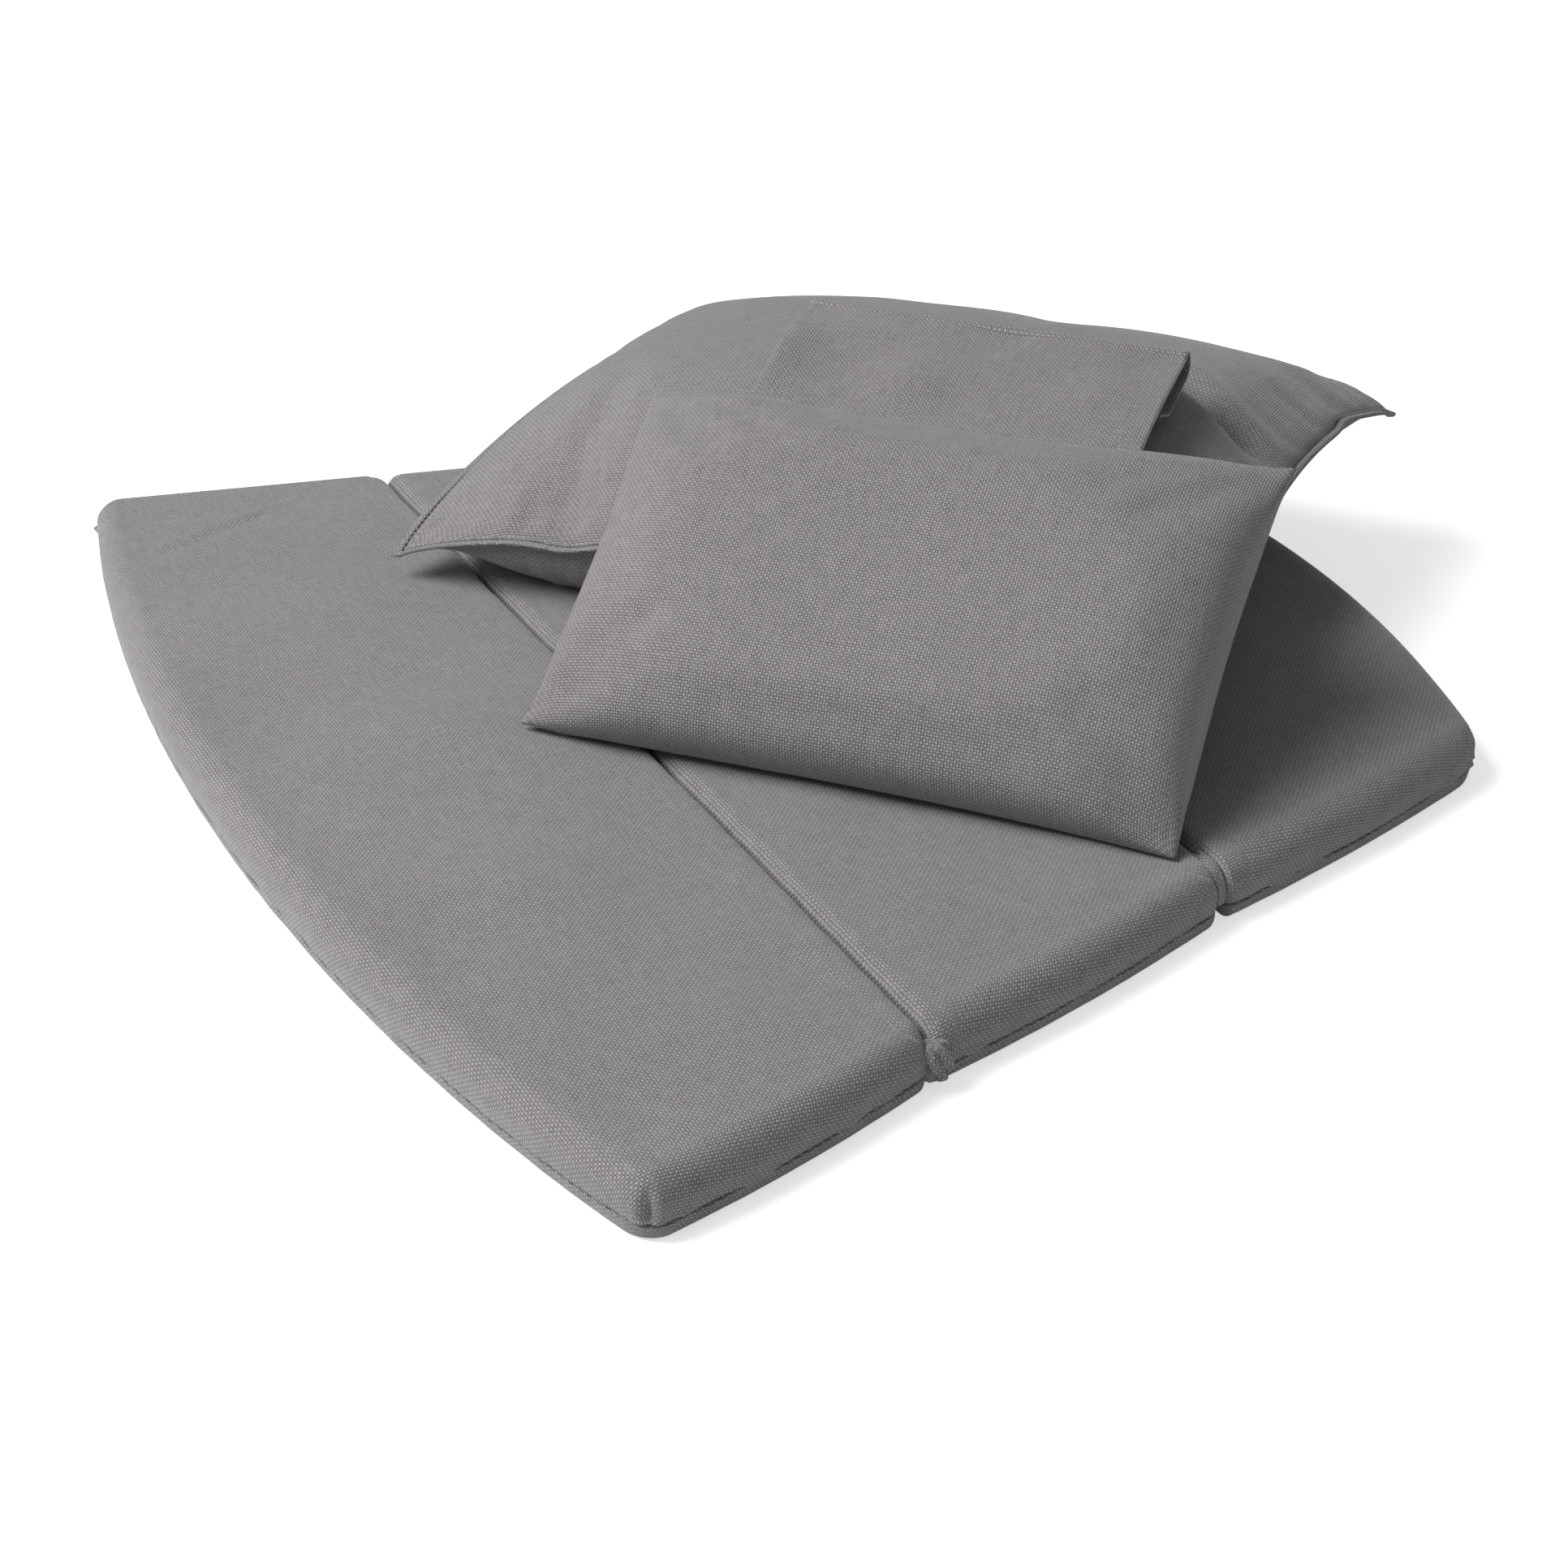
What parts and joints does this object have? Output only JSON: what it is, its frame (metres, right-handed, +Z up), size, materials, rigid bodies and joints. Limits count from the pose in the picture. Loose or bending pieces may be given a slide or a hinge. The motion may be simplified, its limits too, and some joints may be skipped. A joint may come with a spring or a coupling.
{
  "type": "lounge chair cushion set",
  "caption": "Folding panelled seat pad of a garden lounge chair with a loose plump back cushion and a neck pillow with a weighted flap, in woven cloth.",
  "frame": {"origin": "on the floor under the middle panel of the pad, midway between the pad's front and back corners", "axes": "+X across the folds from the wide front edge to the narrow back edge, +Y along the folds, +Z up"},
  "size_m": [0.9039, 0.9465, 0.2113],
  "materials": {
    "cloth": "woven, matte",
    "foam": "matte",
    "fill": "matte",
    "zip": "satin",
    "weight": "rolled"
  },
  "bodies": {
    "middle_panel": {"middle_top_cover": "cloth", "middle_bottom_cover": "cloth", "middle_foam": "foam", "middle_zip_chain": "zip", "front_fold_seam": "cloth", "back_fold_seam": "cloth"},
    "front_panel": {"front_top_cover": "cloth", "front_bottom_cover": "cloth", "front_foam": "foam", "front_zip_chain": "zip"},
    "back_panel": {"back_top_cover": "cloth", "back_bottom_cover": "cloth", "back_foam": "foam", "back_zip_chain": "zip"},
    "back_cushion": {"cushion_top_cover": "cloth", "cushion_bottom_cover": "cloth", "cushion_fill": "fill", "cushion_zip_chain": "zip"},
    "neck_pillow": {"pillow_front_cover": "cloth", "pillow_back_cover": "cloth", "pillow_fill": "fill"},
    "flap": {"flap": "cloth", "flap_weight": "weight"},
    "front_slider": {"front_zip_slider": "zip"},
    "middle_slider": {"middle_zip_slider": "zip"},
    "back_slider": {"back_zip_slider": "zip"},
    "cushion_slider": {"cushion_zip_slider": "zip"}
  },
  "joints": [
    {"name": "front_fold", "type": "hinge", "parent": "middle_panel", "child": "front_panel", "pos_m": [-0.14, 0, 0.027], "axis": [0, 1, 0], "range_deg": [0, 90]},
    {"name": "back_fold", "type": "hinge", "parent": "middle_panel", "child": "back_panel", "pos_m": [0.098, 0, 0.027], "axis": [0, -1, 0], "range_deg": [0, 90]},
    {"name": "cushion_lift", "type": "slide", "parent": "middle_panel", "child": "back_cushion", "axis": [0, 0, 1], "range_m": [0, 0.52]},
    {"name": "pillow_lift", "type": "slide", "parent": "back_cushion", "child": "neck_pillow", "axis": [0, 0, 1], "range_m": [0, 0.25]},
    {"name": "flap_turn", "type": "hinge", "parent": "neck_pillow", "child": "flap", "pos_m": [0.09379, -0.00937, 0.18825], "axis": [0.6691, -0.7431, 0], "range_deg": [0, 110]},
    {"name": "front_zip", "type": "slide", "parent": "front_panel", "child": "front_slider", "axis": [0.9644, -0.2643, 0], "range_m": [0, 0.091]},
    {"name": "middle_zip", "type": "slide", "parent": "middle_panel", "child": "middle_slider", "axis": [0.9644, -0.2643, 0], "range_m": [0, 0.131]},
    {"name": "back_zip", "type": "slide", "parent": "back_panel", "child": "back_slider", "axis": [0.9644, -0.2643, 0], "range_m": [0, 0.121]},
    {"name": "cushion_zip", "type": "slide", "parent": "back_cushion", "child": "cushion_slider", "axis": [0.6129, -0.7857, 0.0838], "range_m": [0, 0.311]}
  ],
  "couplings": [
    {"joint": "back_fold", "follows": "front_fold", "ratio": 1},
    {"joint": "cushion_lift", "follows": "front_fold", "m_per_rad": 0.33}
  ]
}
